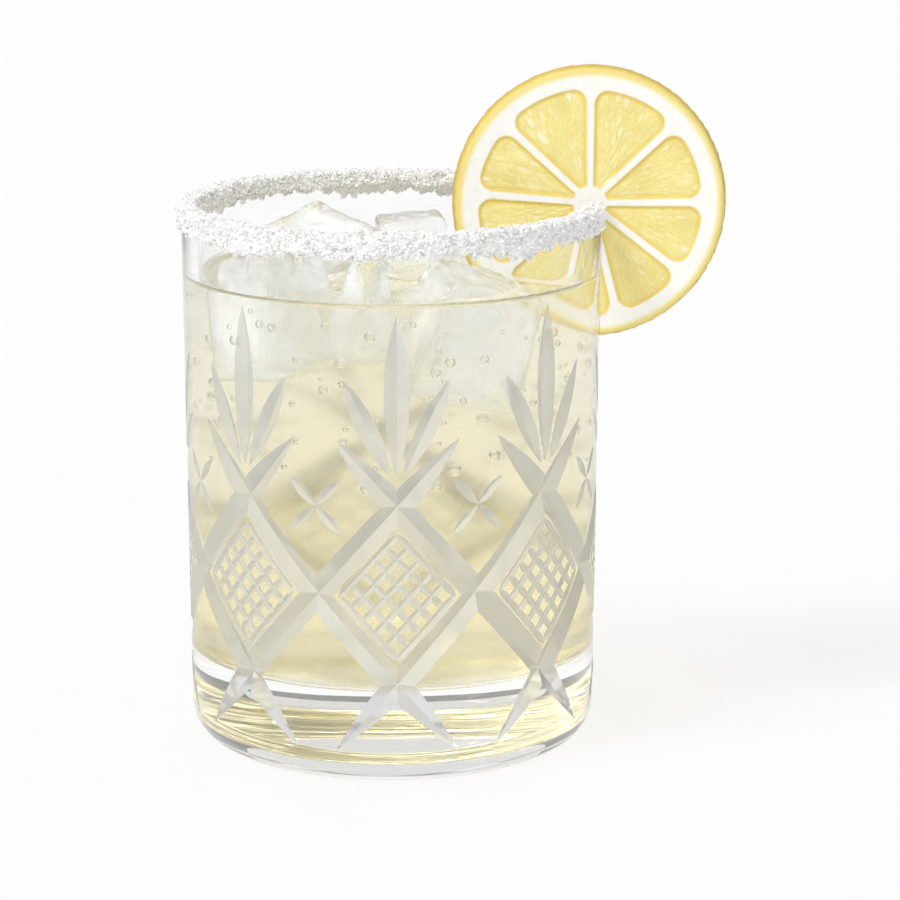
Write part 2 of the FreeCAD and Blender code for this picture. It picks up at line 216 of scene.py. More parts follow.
# ---------------------------------------------------------------- material helpers
class Nodes:
    """A short way to write a material's node tree."""

    def __init__(self, name):
        self.material = bpy.data.materials.new(name)
        self.material.use_nodes = True
        self.tree = self.material.node_tree
        self.tree.nodes.clear()
        self.out = self.tree.nodes.new("ShaderNodeOutputMaterial")

    def add(self, kind, settings=None, **inputs):
        """A node. Its inputs are named with _ for spaces, or by i and a number."""
        node = self.tree.nodes.new("ShaderNode" + kind)
        for key, value in (settings or {}).items():
            setattr(node, key, value)
        for key, value in inputs.items():
            numbered = key[0] == "i" and key[1:].isdigit()
            socket = node.inputs[int(key[1:]) if numbered else key.replace("_", " ")]
            if isinstance(value, bpy.types.NodeSocket):
                self.tree.links.new(value, socket)
            elif isinstance(value, tuple) and len(value) == 3 and socket.type == "RGBA":
                socket.default_value = (*value, 1)
            else:
                socket.default_value = value
        return node

    def ramp(self, fac, stops):
        """A colour that goes through stops of (place, colour) as fac rises."""
        node = self.tree.nodes.new("ShaderNodeValToRGB")
        elements = node.color_ramp.elements
        while len(elements) < len(stops):
            elements.new(0.5)
        for element, (place, colour) in zip(elements, stops):
            element.position, element.color = place, (*colour, 1)
        self.tree.links.new(fac, node.inputs[0])
        return node.outputs[0]

    def mixed(self, share, first, second, how="MIX"):
        """A colour between the first and the second, or their product, by a share."""
        kind = {"data_type": "RGBA", "blend_type": how}
        return self.add("Mix", kind, Factor=share, i6=first, i7=second).outputs[2]

    def attribute(self, name):
        return self.add("Attribute", {"attribute_name": name}).outputs["Fac"]

    def mapped(self, value, low, high, first=0.0, last=1.0):
        """Goes from first to last as the value goes from low to high."""
        limits = {"From_Min": low, "From_Max": high, "To_Min": first, "To_Max": last}
        return self.add("MapRange", Value=value, **limits).outputs[0]

    def finish(self, surface):
        """The material, with this surface."""
        self.tree.links.new(surface, self.out.inputs["Surface"])
        return self.material

    def lamps_through(self, surface, tint):
        """Shows the surface, but lets the light that falls on things pass straight to what is behind it."""
        path = self.add("LightPath")
        falling = self.add("Math", {"operation": "MAXIMUM"}, i0=path.outputs["Is Shadow Ray"],
                           i1=path.outputs["Is Diffuse Ray"])
        clear = self.add("BsdfTransparent", Color=tint)
        mix = self.add("MixShader", i0=falling.outputs[0], i1=surface, i2=clear.outputs[0])
        return self.finish(mix.outputs[0])


def painted_edge_shade(n, colour, edge, start):
    """Painted shade: goes from a colour to a darker edge colour where a clear thing is seen almost along
    its surface, in place of the dark surroundings that outline real glass.
    """
    facing = n.add("LayerWeight", Blend=0.5).outputs["Facing"]
    return n.ramp(facing, [(start, colour), (1.0, edge)])


def clear_material(name, colour, edge, painted_shade_start, ior, uneven=False):
    """Polished glass, or the wall of a bubble, with painted shade at its edges where it is seen almost
    along its surface. uneven gives it the faint waviness of pressed glass.
    """
    n = Nodes(name)
    # painted shade: the colour darkens toward the edge colour where the surface is seen almost along itself
    colour = painted_edge_shade(n, colour, edge, painted_shade_start)
    shader = n.add("BsdfPrincipled", Base_Color=colour, Roughness=0.0, IOR=ior, Transmission_Weight=1.0)
    if uneven:
        place = n.add("TexCoord")
        noise = n.add("TexNoise", Vector=place.outputs["Object"], Scale=60.0, Detail=2.0)
        height = n.add("Bump", Height=noise.outputs[0], Strength=0.04, Distance=0.0004)
        n.tree.links.new(height.outputs[0], shader.inputs["Normal"])
    return n.lamps_through(shader.outputs[0], (0.97, 0.97, 0.97))


def facet_material():
    """Glass as the wheel leaves it: satin from outside, and nearly clear from within. Its grey from outside
    is painted shade.
    """
    n = Nodes("cut_facets")
    # the grey base colour of the outer side is painted shade on the facets
    outside = n.add("BsdfPrincipled", Base_Color=(0.66, 0.66, 0.645), Roughness=0.09, IOR=1.5,
                    Transmission_Weight=0.50)
    inside = n.add("BsdfPrincipled", Base_Color=(0.96, 0.96, 0.95), Roughness=0.09, IOR=1.5,
                   Transmission_Weight=1.0)
    side = n.add("NewGeometry").outputs["Backfacing"]
    shader = n.add("MixShader", i0=side, i1=outside.outputs[0], i2=inside.outputs[0])
    return n.lamps_through(shader.outputs[0], (0.95, 0.95, 0.95))


def hazy_volume(n, absorbed, scattered):
    """Fills a liquid: how much red, green and blue it takes up, and how much it scatters, per metre."""
    strongest = max(absorbed)
    let_through = tuple(1 - part / strongest for part in absorbed)
    clear = n.add("VolumeAbsorption", Color=let_through, Density=strongest)
    haze = n.add("VolumeScatter", Color=(1.0, 0.99, 0.95), Density=scattered, Anisotropy=0.4)
    both = n.add("AddShader", i0=clear.outputs[0], i1=haze.outputs[0])
    n.tree.links.new(both.outputs[0], n.out.inputs["Volume"])


def drink_material():
    """A pale, cloudy drink. It blurs what is behind it, and is yellower low down, where the juice sinks."""
    n = Nodes("fizz")
    softness = n.mapped(n.attribute("wall"), 0.0, 1.0, 0.02, 0.19)
    height = n.add("SeparateXYZ", Vector=n.add("TexCoord").outputs["Object"]).outputs["Z"]
    share = n.mapped(height, BASE * MM, 0.7 * DRINK_LEVEL * MM)
    white, juice = (1.0, 1.0, 1.0), (1.0, 0.94, 0.68)
    colour = n.ramp(share, [(0.0, white), (0.05, juice), (1.0, white)])
    shader = n.add("BsdfPrincipled", Base_Color=colour, Roughness=softness, IOR=1.34,
                   Transmission_Weight=1.0)
    hazy_volume(n, (0.1, 1.0, 5.2), 2.0)
    return n.lamps_through(shader.outputs[0], (0.99, 0.99, 0.98))


def ice_material():
    """Ice with clear and cloudy places, an uneven melted skin, and painted shade at its edges where it is
    seen almost along its surface.
    """
    n = Nodes("ice")
    place = n.add("TexCoord").outputs["Object"]
    heart = n.attribute("heart")
    cloud = n.add("TexNoise", Vector=place, Scale=130.0, Detail=3.0)
    both = n.add("Math", {"operation": "MULTIPLY"}, i0=heart, i1=cloud.outputs[0])
    clearness = n.mapped(both.outputs[0], 0.08, 0.4, 0.97, 0.3)
    skin = n.add("TexNoise", Vector=place, Scale=200.0, Detail=2.0)
    height = n.add("Bump", Height=skin.outputs[0], Strength=0.16, Distance=0.0006)
    # painted shade: grey where the ice is seen almost along its surface
    tone = painted_edge_shade(n, (0.965, 0.98, 0.99), (0.50, 0.52, 0.54), 0.55)
    shader = n.add("BsdfPrincipled", Base_Color=tone, Roughness=0.05, IOR=1.31,
                   Transmission_Weight=clearness, Normal=height.outputs[0])
    return n.lamps_through(shader.outputs[0], (0.97, 0.97, 0.97))


# The glass's grey edge colour is painted shade at its grazing edges.
glass_material = clear_material("cut_glass", (0.985, 0.99, 0.99), (0.36, 0.37, 0.37), 0.72, 1.5, True)
cut_material, fizz_material, frozen_material = facet_material(), drink_material(), ice_material()
# The bubble wall's dark edge colour is painted shade, which draws the bubbles' dark rims.
bubble_material = clear_material("bubble_wall", (0.97, 0.97, 0.97), (0.30, 0.30, 0.28), 0.45, 1.34)


# ---------------------------------------------------------------- tumbler
def on_side(angle, z, outward=0.0):
    """The point of the tumbler's side at an angle in degrees and a height, moved outward."""
    a = math.radians(angle)
    r = outer_radius(z) + outward
    return np.array((r * math.cos(a), r * math.sin(a), z))


def groove_depth(width):
    """How deep the cutting wheel goes to leave a groove this wide."""
    return width / 2 / math.tan(MITRE)


def v_cutter(stations, proud=0.8):
    """Points and faces of a cutter for a V groove through stations of (angle, height, depth)."""
    places = [on_side(angle, z) for angle, z, depth in stations]
    points = []
    for i, (angle, z, depth) in enumerate(stations):
        outward = on_side(angle, z, 1) - places[i]
        along = places[min(i + 1, len(places) - 1)] - places[max(i - 1, 0)]
        across = np.cross(outward, along)
        across *= (depth + proud) * math.tan(MITRE) / np.linalg.norm(across)
        top = places[i] + outward * proud
        points += [places[i] - outward * depth, top + across, top - across]
    faces = [(2, 1, 0)]
    for i in range(len(stations) - 1):
        a, b = 3 * i, 3 * i + 3
        faces += [(a, a + 1, b + 1, b), (a + 1, a + 2, b + 2, b + 1), (a + 2, a, b, b + 2)]
    a = 3 * (len(stations) - 1)
    faces.append((a, a + 1, a + 2))
    return points, faces


def blade(angle, z, lean, length, width, steps=16):
    """A leaf-shaped cut about its middle, leaning from upright."""
    stations = []
    for i in range(steps + 1):
        share = math.sin(math.pi / 2 * (2 * i / steps - 1))
        s = share * length / 2
        aside = math.degrees(s * math.sin(lean) / outer_radius(z))
        stations.append((angle + aside, z + s * math.cos(lean), groove_depth(width) * (1 - share**2)))
    return v_cutter(stations)


def lattice_groove(start_angle, hand):
    """A long groove that climbs to the left or right, and fades out above and below the crossings."""
    full = groove_depth(LATTICE_WIDTH) + (LATTICE_HAND_DEPTH if hand > 0 else 0)
    heights = [LATTICE_LOW - LOW_RUN_OUT * (1 - i / 12) for i in range(12)]
    heights += [LATTICE_LOW + 2 * LATTICE_ROW * i / 36 for i in range(36)]
    heights += [LATTICE_HIGH + TOP_RUN_OUT * i / 12 for i in range(13)]
    stations = []
    for z in heights:
        below, above = max(0, LATTICE_LOW - z) / LOW_RUN_OUT, max(0, z - LATTICE_HIGH) / TOP_RUN_OUT
        angle = start_angle + hand * HALF_PITCH / LATTICE_ROW * (z - LATTICE_LOW)
        stations.append((angle, z, full * (1 - below**1.5) * (1 - above**2)))
    return v_cutter(stations)


def hatch_lines(column, hand):
    """Fine grooves that cross a diamond one way, from border to border, between two bigger grooves."""
    arc = math.radians(HALF_PITCH) * outer_radius(LATTICE_MIDDLE)
    across = 2 * arc * LATTICE_ROW / math.hypot(arc, LATTICE_ROW)
    half = 0.5 - (LATTICE_WIDTH / 2 + HATCH_BORDER) / across
    lines = []
    for k in range(HATCH_CELLS + 1):
        fixed = half * (2 * k / HATCH_CELLS - 1)
        stations = []
        for t in np.linspace(-1, 1, 13):
            run = t * half * 1.02
            p, q = (fixed, run) if hand > 0 else (run, fixed)
            fade = min(1.0, (1 - abs(t)) * 14 + 0.25)  # the ends are a quarter as deep
            angle = 2 * HALF_PITCH * column + (p - q) * HALF_PITCH
            z = LATTICE_MIDDLE + (p + q) * LATTICE_ROW
            stations.append((angle, z, groove_depth(HATCH_WIDTH) * fade))
        lines.append(v_cutter(stations, 0.5))
    return lines


def side_cutters():
    """The cutting in sets of grooves that don't meet inside a set."""
    columns = range(COLUMNS)
    sets = [[lattice_groove(2 * HALF_PITCH * c, hand) for c in columns] for hand in (1, -1)]
    root = LATTICE_HIGH + FAN_ROOT_GAP
    length = HEIGHT - FAN_TOP_BELOW_RIM - root
    side = FAN_SIDE_SHARE * length
    sets.append([blade(2 * HALF_PITCH * c, root + length / 2, 0, length, FAN_BLADE_WIDTH) for c in columns])
    z = root + side / 2 * math.cos(FAN_SPREAD)
    aside = math.degrees((FAN_SIDE_ROOT + side / 2 * math.sin(FAN_SPREAD)) / outer_radius(z))
    for hand in (1, -1):
        sets.append([blade(2 * HALF_PITCH * c + hand * aside, z, hand * FAN_SPREAD, side, FAN_SIDE_WIDTH)
                     for c in columns])
    for rise in (1, -1):
        z = LATTICE_HIGH + rise * STAR_LENGTH / 2 * math.cos(STAR_LEAN)
        aside = math.degrees(STAR_LENGTH / 2 * math.sin(STAR_LEAN) / outer_radius(z))
        for hand in (1, -1):
            sets.append([blade(HALF_PITCH * (2 * c + 1) + hand * aside, z, hand * rise * STAR_LEAN,
                               STAR_LENGTH, STAR_WIDTH, 8) for c in columns])
    for hand in (1, -1):
        sets.append([line for c in columns for line in hatch_lines(c, hand)])
    cutters = []
    for grooves in sets:
        cutter = make_object("cutter", *joined(grooves))
        outward_faces(cutter)
        cutters.append(cutter)
    return cutters


def straighten_side(mesh, is_plain):
    """Gives the uncut faces of the side the exact normals of the cone, whatever slivers the cuts left."""
    count = len(mesh.loops)
    normal, vertex = np.empty(3 * count), np.empty(count, int)
    mesh.corner_normals.foreach_get("vector", normal)
    mesh.loops.foreach_get("vertex_index", vertex)
    sides = np.empty(len(mesh.polygons), int)
    mesh.polygons.foreach_get("loop_total", sides)
    place = np.empty(3 * len(mesh.vertices))
    mesh.vertices.foreach_get("co", place)
    place = place.reshape(-1, 3)[vertex]
    plain = np.repeat(is_plain, sides)
    around = place / np.hypot(place[:, 0], place[:, 1]).clip(1e-6)[:, None]
    around[:, 2] = -(RIM_RADIUS - FOOT_RADIUS) / HEIGHT
    normal = np.where(plain[:, None], around, normal.reshape(-1, 3))
    mesh.normals_split_custom_set((normal / np.linalg.norm(normal, axis=1, keepdims=True)).tolist())


def make_tumbler():
    """The glass with its cutting. Its facets, found by their depth in the wall, get their own finish."""
    lip = RIM_WALL / 2 - 0.01
    path = path_with_corners([
        (0, 0, 0), (FOOT_RADIUS, 0, HEEL_RADIUS), (RIM_RADIUS, HEIGHT, lip), (INNER_RIM, HEIGHT, lip),
        (INNER_FLOOR, BASE, FLOOR_CORNER_RADIUS), (0, BASE, 0),
    ], 32)
    glass = make_object("tumbler_glass", *lathe(path, 384))
    cut_away(glass, side_cutters())
    glass.data.materials.append(glass_material)
    glass.data.materials.append(cut_material)
    centre = np.empty(3 * len(glass.data.polygons))
    glass.data.polygons.foreach_get("center", centre)
    x, y, z = centre.reshape(-1, 3).T / MM
    depth = outer_radius(z) - np.hypot(x, y)
    is_cut = (depth > 0.05) & (depth < RIM_WALL - 0.4) & (z > LATTICE_LOW - LOW_RUN_OUT) & (z < HEIGHT - 5)
    glass.data.polygons.foreach_set("material_index", is_cut.astype(int))
    shade(glass.data, 9)
    is_plain = (abs(depth) < 0.03) & (z > HEEL_RADIUS + 0.2) & (z < HEIGHT - 2)
    straighten_side(glass.data, is_plain)
    belongs(glass, "cut_glass", "tumbler")


make_tumbler()


# ---------------------------------------------------------------- ice
def rounded_block(size, radius, divisions):
    """Points and faces of a block with rounded edges, in a grid on each side."""
    line = np.linspace(-1, 1, divisions + 1)
    points, faces = [], []
    for axis in range(3):
        for sign in (-1, 1):
            first = len(points)
            for u in line:
                for v in line:
                    p = [u, v]
                    p.insert(axis, sign)
                    points.append(p)
            for i in range(divisions):
                for j in range(divisions):
                    a = first + i * (divisions + 1) + j
                    faces.append((a, a + 1, a + divisions + 2, a + divisions + 1))
    points = np.array(points)
    # neighbouring sides share the points of their edges
    unique, index = np.unique(np.round(points, 6), axis=0, return_inverse=True)
    index = index.reshape(-1)
    faces = [tuple(index[i] for i in f) for f in faces]
    half = np.array(size) / 2
    full = unique * half
    core = np.clip(full, radius - half, half - radius)
    away = full - core
    length = np.linalg.norm(away, axis=1, keepdims=True)
    return core + radius * away / np.maximum(length, 1e-9), faces


ICE_GRID = 26  # faces along each edge of a piece
ICE = {  # size, narrowing, middle (x, y, z from the drink's surface), turn, tilt and its heading
    "ice_peak": ((23, 23, 24), 0.88, (-14.6, 12.0, -3.4), 45, 21, 268),
    "ice_flat": ((16, 14, 22), 0.88, (5.2, 26.0, -3.0), 4, 5, 200),
    "ice_round": ((19, 17, 24), 0.84, (-22.5, -13.0, -5.0), 45, 9, 160),
    "ice_shard": ((12, 11, 19), 0.50, (-5.6, -19.5, -3.2), 45, 6, 20),
    "ice_front": ((21, 19, 24), 0.84, (13.2, -16.0, -9.0), 20, 20, 345),
}


def ice_points(name, shrink, seed):
    """The melted surface of one piece, in place."""
    size, taper, (x, y, z), turn, tilt, heading = ICE[name]
    size = [side - ICE_MELT - 2 * shrink for side in size]
    points, faces = rounded_block(size, ICE_EDGE_RADIUS, ICE_GRID)
    share = points[:, 2] / size[2] + 0.5
    points[:, :2] *= (1 + (taper - 1) * share)[:, None]
    middle = points / np.linalg.norm(points, axis=1, keepdims=True)
    points = points + middle * (0.35 * waves(points, 14, seed) + 0.1 * waves(points, 4, seed + 1))[:, None]
    heading = math.radians(heading)
    tilted = Matrix.Rotation(math.radians(tilt), 3, (-math.sin(heading), math.cos(heading), 0))
    place = tilted @ Matrix.Rotation(math.radians(turn), 3, "Z")
    return points @ np.array(place).T + np.array((x, y, DRINK_LEVEL + z)), faces


def make_ice(name, seed):
    """One melted piece. Its attribute heart is 1 at the middle of each side, where cloudy ice shows."""
    piece = make_object(name + "_melted", *ice_points(name, 0, seed), frozen_material)
    across = np.sort(np.abs(rounded_block((2, 2, 2), 0.01, ICE_GRID)[0]), axis=1)
    heart = (1 - across[:, 0] ** 2) * (1 - across[:, 1] ** 2)
    piece.data.attributes.new("heart", "FLOAT", "POINT").data.foreach_set("value", heart)
    outward_faces(piece)
    shade(piece.data, 60)
    belongs(piece, "ice", name)


def make_pocket(name, seed):
    """What a piece takes from the drink: a hair smaller than it, so that no air shows between them."""
    pocket = make_object("pocket", *ice_points(name, 0.05, seed))
    outward_faces(pocket)
    return pocket


ICE_SEEDS = {name: 10 * number for number, name in enumerate(ICE)}
pockets = []
for name, seed in ICE_SEEDS.items():
    make_ice(name, seed)
    pockets.append(make_pocket(name, seed))


# ---------------------------------------------------------------- drink and bubbles
def make_drink():
    """The drink up to its level. Its attribute wall is 1 where it meets the glass."""
    path = path_with_corners([
        (0, BASE - INTO_WALL, 0), (INNER_FLOOR + INTO_WALL, BASE - INTO_WALL, FLOOR_CORNER_RADIUS),
        (inner_radius(DRINK_LEVEL) + INTO_WALL, DRINK_LEVEL + MENISCUS_RISE, 0),
    ])
    edge = inner_radius(DRINK_LEVEL)
    for t in np.linspace(0, 1, 9):  # the meniscus falls away from the wall
        path.append((edge - MENISCUS_REACH * t, DRINK_LEVEL + MENISCUS_RISE * (1 - t) ** 3))
    path.append((0, DRINK_LEVEL))
    drink = make_object("fizz", *lathe(path, 192))
    cut_away(drink, pockets)
    drink.data.materials.append(fizz_material)
    centre = np.empty(3 * len(drink.data.polygons))
    drink.data.polygons.foreach_get("center", centre)
    x, y, z = centre.reshape(-1, 3).T / MM
    at_wall = (np.hypot(x, y) > inner_radius(z) - 0.2) | (z < BASE + 0.2)
    drink.data.attributes.new("wall", "FLOAT", "FACE").data.foreach_set("value", at_wall.astype(float))
    shade(drink.data, 40)
    belongs(drink, "drink", "drink")


make_drink()


def is_outside(tree, spot):
    """True outside a closed surface, where a ray straight up crosses it an even number of times."""
    crossings, start = 0, spot.copy()
    while crossings < 9:
        place, _, _, _ = tree.ray_cast(start, Vector((0, 0, 1)))
        if place is None:
            break
        crossings, start = crossings + 1, place + Vector((0, 0, 1e-4))
    return crossings % 2 == 0


def inverted_ball():
    """Points and faces of a ball of radius 1 that faces inward, because a bubble bounds the drink."""
    bm = bmesh.new()
    bmesh.ops.create_icosphere(bm, subdivisions=2, radius=1.0)
    points = np.array([v.co for v in bm.verts])
    faces = [tuple(v.index for v in reversed(f.verts)) for f in bm.faces]
    bm.free()
    return points, faces


def bubble_spot(local):
    """A place and a radius: most bubbles are small, near the surface of the drink and near the wall."""
    radius = 0.48 + 0.85 * local.random() ** 1.8
    z = DRINK_LEVEL - 1.2 - radius - 34 * local.random() ** 1.3
    a = local.uniform(0, 2 * math.pi)
    inward = 0.12 + (0.9 if local.random() < 0.75 else 25) * local.random()
    r = inner_radius(z) - radius - inward
    return Vector((r * math.cos(a), r * math.sin(a), z)), radius


def make_bubbles(count=190):
    """Round bubbles in the drink, clear of each other, the ice and the lemon."""
    apart, off_ice = 0.3, 0.2
    trees = []
    for name, seed in ICE_SEEDS.items():
        points, faces = ice_points(name, 0, seed)
        trees.append(BVHTree.FromPolygons([Vector(p) for p in points], faces))
    ball, ball_faces = inverted_ball()
    local = np.random.default_rng(5)
    placed, parts = [], []
    while len(placed) < count:
        spot, radius = bubble_spot(local)
        if any((spot - other).length < radius + its + apart for other, its in placed):
            continue
        from_lemon = math.hypot(spot.x - LEMON_X, spot.z - LEMON_Z) - LEMON_RADIUS
        if abs(spot.y) < LEMON_THICKNESS / 2 + radius + apart and from_lemon < radius + apart:
            continue
        if all(tree.find_nearest(spot)[3] > radius + off_ice and is_outside(tree, spot) for tree in trees):
            placed.append((spot, radius))
            parts.append((ball * radius + np.array(spot), ball_faces))
    bubbles = make_object("bubbles", *joined(parts), bubble_material)
    shade(bubbles.data, 60)
    belongs(bubbles, "drink")


make_bubbles()


# ---------------------------------------------------------------- sugared rim
def wander(angle, seed):
    """A smooth wander between about -1 and 1 round the lip."""
    a = math.radians(angle)
    waves_round = ((5, 1.0), (9, 0.8), (14, 0.6), (23, 0.45))
    total = sum(w for n, w in waves_round)
    return sum(w * math.sin(n * a + seed * (1.7 + 0.31 * n)) for n, w in waves_round) / total * 1.5


def crust_section(angle, inset):
    """The crust's outline (r, z) at one angle, from its outer foot over the lip to its inner foot."""
    thick = CRUST_THICKNESS + CRUST_LUMPS * wander(angle, 1) - inset
    inner_thick = 0.75 * CRUST_THICKNESS + CRUST_LUMPS * wander(angle, 2) - inset
    low = HEIGHT - CRUST_DROP_OUTSIDE + CRUST_RAGGEDNESS * wander(angle, 3) + inset
    inner_low = HEIGHT - CRUST_DROP_INSIDE + 0.6 * CRUST_RAGGEDNESS * wander(angle, 4) + inset
    top = HEIGHT + 0.85 * CRUST_THICKNESS + CRUST_LUMPS * wander(angle, 5) - inset
    r, q = RIM_RADIUS, INNER_RIM
    return [
        (r - 0.15, low + 0.3), (r + 0.55 * thick, low), (r + thick, low + 0.9),
        (r + 0.95 * thick, HEIGHT - 0.9), (r + 0.45 * thick, HEIGHT + 0.35), (r - 0.35 * RIM_WALL, top),
        (q + 0.35 * RIM_WALL, top), (q - 0.45 * inner_thick, HEIGHT + 0.3),
        (q - 0.95 * inner_thick, HEIGHT - 0.8), (q - inner_thick, inner_low + 0.7),
        (q - 0.5 * inner_thick, inner_low), (q + 0.15, inner_low + 0.3),
    ]


def scallops(turn, heights):
    """How far the lower edges of the crust rise and fall in lumps a millimetre or two wide."""
    lumps = abs(math.sin(37 * turn + 1.3 * math.sin(11 * turn)))
    lumps += 0.6 * abs(math.sin(83 * turn + 2 * math.sin(7 * turn)))
    share = np.clip((HEIGHT - 1.5 - heights) / 2.5, 0, 1)
    return share * (1.5 - 1.1 * lumps)


def subdivided(section, count=4):
    """The same open outline with each of its runs in that many parts."""
    points = []
    for (x0, z0), (x1, z1) in zip(section, section[1:]):
        points += [(x0 + (x1 - x0) * i / count, z0 + (z1 - z0) * i / count) for i in range(count)]
    points.append(section[-1])
    return points


def lining(inner_low, outer_low):
    """The crust's side against the glass, a little way into it, from the inner foot to the outer one."""
    middle, lip, sunk = RIM_RADIUS - RIM_WALL / 2, RIM_WALL / 2, CRUST_INTO_GLASS
    arc = [(middle - (lip - sunk) * math.cos(t), HEIGHT - lip + (lip - sunk) * math.sin(t))
           for t in np.linspace(0, math.pi, 9)]
    return [(INNER_RIM + sunk, inner_low)] + arc + [(RIM_RADIUS - sunk, outer_low)]


def away_from_lip(points):
    """For each point, the direction in which it lies from the middle of the lip."""
    lip = points * (1, 1, 0)
    lip *= (RIM_RADIUS - RIM_WALL / 2) / np.linalg.norm(lip, axis=1, keepdims=True)
    lip[:, 2] = HEIGHT - 1.5
    away = points - lip
    return away / np.linalg.norm(away, axis=1, keepdims=True)


def make_crust(steps=900):
    """Points and faces, how many points a section has, and how many of those lie outside the glass."""
    opening = math.degrees((LEMON_THICKNESS / 2 + CRUST_END_GAP) / INNER_RIM)
    heart_x, heart_z = RIM_RADIUS - 1.3, HEIGHT - 1.6  # the ends shrink toward this place in the lip
    points = []
    for i in range(steps + 1):
        angle = opening + (360 - 2 * opening) * i / steps
        a = math.radians(angle)
        from_end = min(angle - opening, 360 - opening - angle) * math.pi / 180 * RIM_RADIUS
        rounding = math.sqrt(1 - (1 - min(1.0, from_end / CRUST_END)) ** 2)
        section = np.array(crust_section(angle, CRUST_INSET))
        section[:, 1] += scallops(a, section[:, 1])
        ring = subdivided(section)
        outside = len(ring)
        ring += lining(section[-1][1], section[0][1])
        loops = len(ring)
        for x, z in ring:
            r = heart_x + (x - heart_x) * (0.45 + 0.55 * rounding)
            z = heart_z + (z - heart_z) * (0.3 + 0.7 * rounding)
            points.append((r * math.cos(a), r * math.sin(a), z))
    points = np.array(points)
    relief = 0.24 * waves(points, 2.6, 40, 2) + 0.16 * waves(points, 0.9, 41, 2)
    relief = np.clip(relief, -0.45, 0.2) * (np.arange(len(points)) % loops < outside)
    points = points + away_from_lip(points) * relief[:, None]
    faces = []
    for i in range(steps):
        a, b = i * loops, (i + 1) * loops
        for j in range(loops):
            k = (j + 1) % loops
            faces.append((a + j, a + k, b + k, b + j))
    faces.append(tuple(range(loops - 1, -1, -1)))
    faces.append(tuple(steps * loops + j for j in range(loops)))
    return points, faces, loops, outside


def crust_material():
    """Packed sugar: white, fine-grained and a little translucent."""
    n = Nodes("sugar_crust")
    place = n.add("TexCoord").outputs["Object"]
    speckle = n.add("TexNoise", Vector=place, Scale=1400.0, Detail=3.0)
    colour = n.ramp(speckle.outputs[0], [(0.3, (0.86, 0.86, 0.85)), (0.5, (0.94, 0.94, 0.93)),
                                         (0.7, (0.97, 0.97, 0.96))])
    cells = n.add("TexVoronoi", Vector=place, Scale=1900.0)
    height = n.add("Bump", Height=cells.outputs["Distance"], Strength=0.7, Distance=0.0004)
    shader = n.add("BsdfPrincipled", Base_Color=colour, Roughness=0.42, Normal=height.outputs[0],
                   Subsurface_Weight=0.25, Subsurface_Radius=(0.001, 0.001, 0.001))
    return n.finish(shader.outputs[0])


def grain_material():
    """Glossy, translucent grains. A quarter of them are greyer, so that single grains read."""
    n = Nodes("sugar_grain")
    chance = n.add("NewGeometry").outputs["Random Per Island"]
    colour = n.ramp(chance, [(0.0, (0.66, 0.66, 0.655)), (0.25, (0.90, 0.90, 0.895)),
                             (1.0, (0.94, 0.94, 0.94))])
    shader = n.add("BsdfPrincipled", Base_Color=colour, Roughness=0.16, IOR=1.5, Subsurface_Weight=0.6,
                   Subsurface_Radius=(0.001, 0.001, 0.001))
    return n.finish(shader.outputs[0])


def tumbled_blocks(spots, sizes):
    """Points and faces of small blocks, each turned and stretched by chance."""
    count = len(spots)
    corner = np.array([(x, y, z) for x in (-1, 1) for y in (-1, 1) for z in (-1, 1)]) / 2
    sides = np.array([(0, 1, 3, 2), (4, 6, 7, 5), (0, 4, 5, 1), (2, 3, 7, 6), (0, 2, 6, 4), (1, 5, 7, 3)])
    turns = rng.normal(size=(count, 4))
    turns /= np.linalg.norm(turns, axis=1, keepdims=True)
    w, x, y, z = turns.T
    rotation = np.array([
        [1 - 2 * (y * y + z * z), 2 * (x * y - z * w), 2 * (x * z + y * w)],
        [2 * (x * y + z * w), 1 - 2 * (x * x + z * z), 2 * (y * z - x * w)],
        [2 * (x * z - y * w), 2 * (y * z + x * w), 1 - 2 * (x * x + y * y)],
    ]).transpose(2, 0, 1)
    stretch = rng.uniform(0.75, 1.25, (count, 1, 3)) * sizes[:, None, None]
    points = spots[:, None, :] + np.einsum("nij,nkj->nki", rotation, corner[None] * stretch)
    faces = sides[None] + 8 * np.arange(count)[:, None, None]
    return points.reshape(-1, 3), faces.reshape(-1, 4)


def make_sugar(count=11500):
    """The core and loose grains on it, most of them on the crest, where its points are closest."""
    points, faces, loops, outside = make_crust()
    core = make_object("sugar_core", points, faces, crust_material())
    outward_faces(core)
    shade(core.data, 40)
    belongs(core, "sugar", "sugar_rim")
    i = rng.integers(0, len(points) // loops - 1, count)
    j = rng.integers(2, outside - 3, count)
    here, beyond = points[i * loops + j], points[(i + 1) * loops + j]
    spots = here + (beyond - here) * rng.random(count)[:, None]
    outward = away_from_lip(spots)
    sizes = rng.uniform(0.3, 0.6, count)
    spots = spots + outward * (sizes * rng.uniform(-0.1, 0.3, count))[:, None]
    grains = make_object("sugar_grains", *tumbled_blocks(spots, sizes), grain_material())
    belongs(grains, "sugar")


make_sugar()


